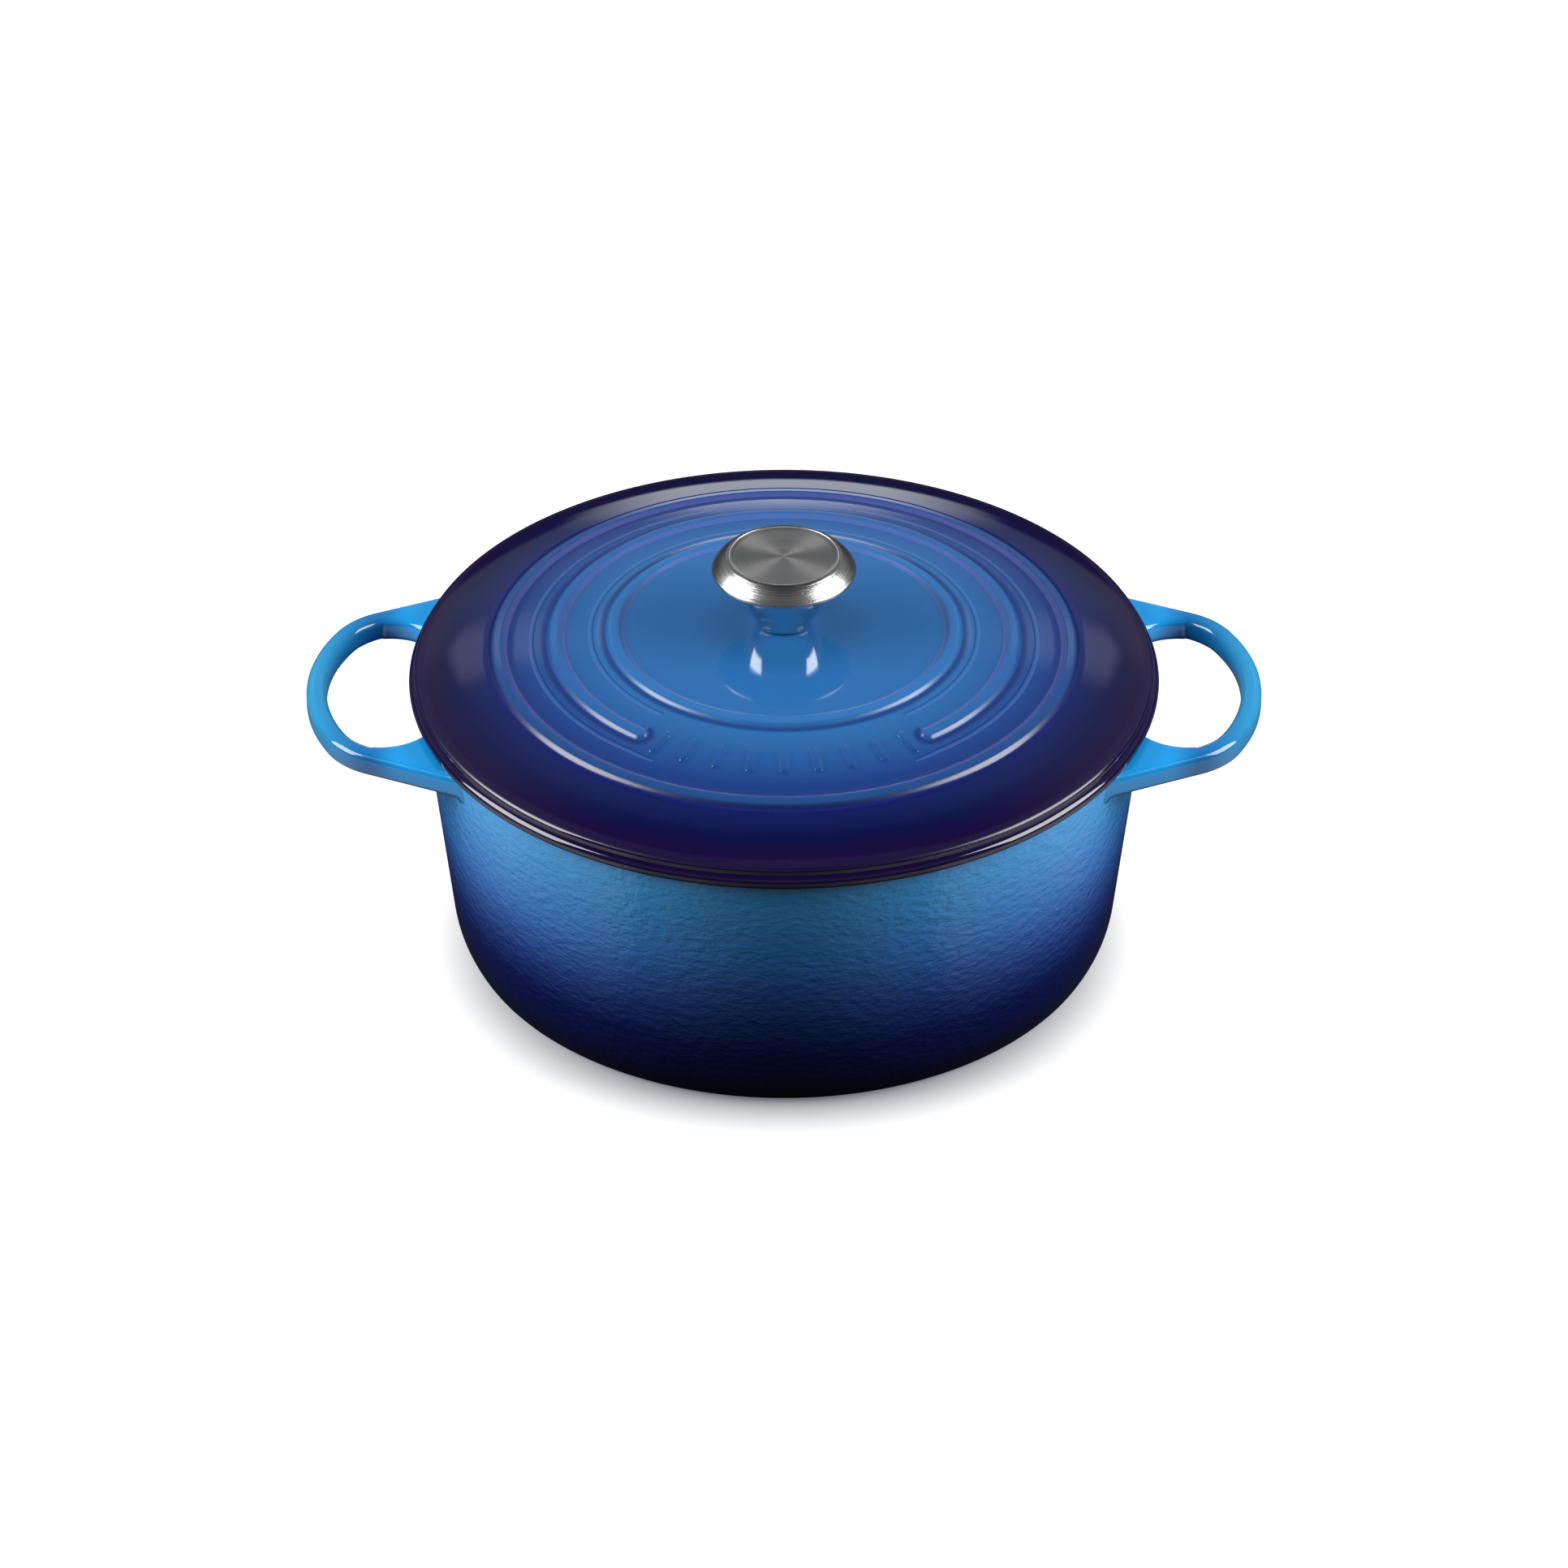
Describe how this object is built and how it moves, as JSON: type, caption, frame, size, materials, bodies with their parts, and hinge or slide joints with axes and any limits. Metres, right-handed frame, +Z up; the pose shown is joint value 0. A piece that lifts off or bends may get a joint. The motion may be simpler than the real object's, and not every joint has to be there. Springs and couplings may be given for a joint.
{
  "type": "cast iron dutch oven",
  "caption": "Round enamelled cast iron casserole pot with two loop handles, and a domed, ribbed lift-off lid with a steel knob.",
  "frame": {"origin": "centre of the flat underside of the pot, on the surface it stands on", "axes": "+Z up through the middle of the knob, X through the two loop handles, -Y towards the front of the lid where the middle rib is open"},
  "size_m": [0.3712, 0.291, 0.1691],
  "materials": {
    "blue_enamel": "gloss",
    "navy_enamel": "gloss",
    "brushed_steel": "satin",
    "polished_steel": "polished",
    "brass": "satin"
  },
  "bodies": {
    "pot": {"pot": "blue_enamel"},
    "lid_carrier": {"screw_washer": "polished_steel"},
    "lid": {"lid": "navy_enamel", "knob_cap": "brushed_steel", "knob_neck": "polished_steel", "knob_bush": "brass", "knob_screw": "polished_steel"}
  },
  "joints": [
    {"name": "lid_lift", "type": "slide", "parent": "pot", "child": "lid_carrier", "axis": [0, 0, 1], "range_m": [0, 0.2]},
    {"name": "lid_turn", "type": "hinge", "parent": "lid_carrier", "child": "lid", "pos_m": [0, 0, 0.1333], "axis": [0, 0, 1], "continuous": true}
  ]
}
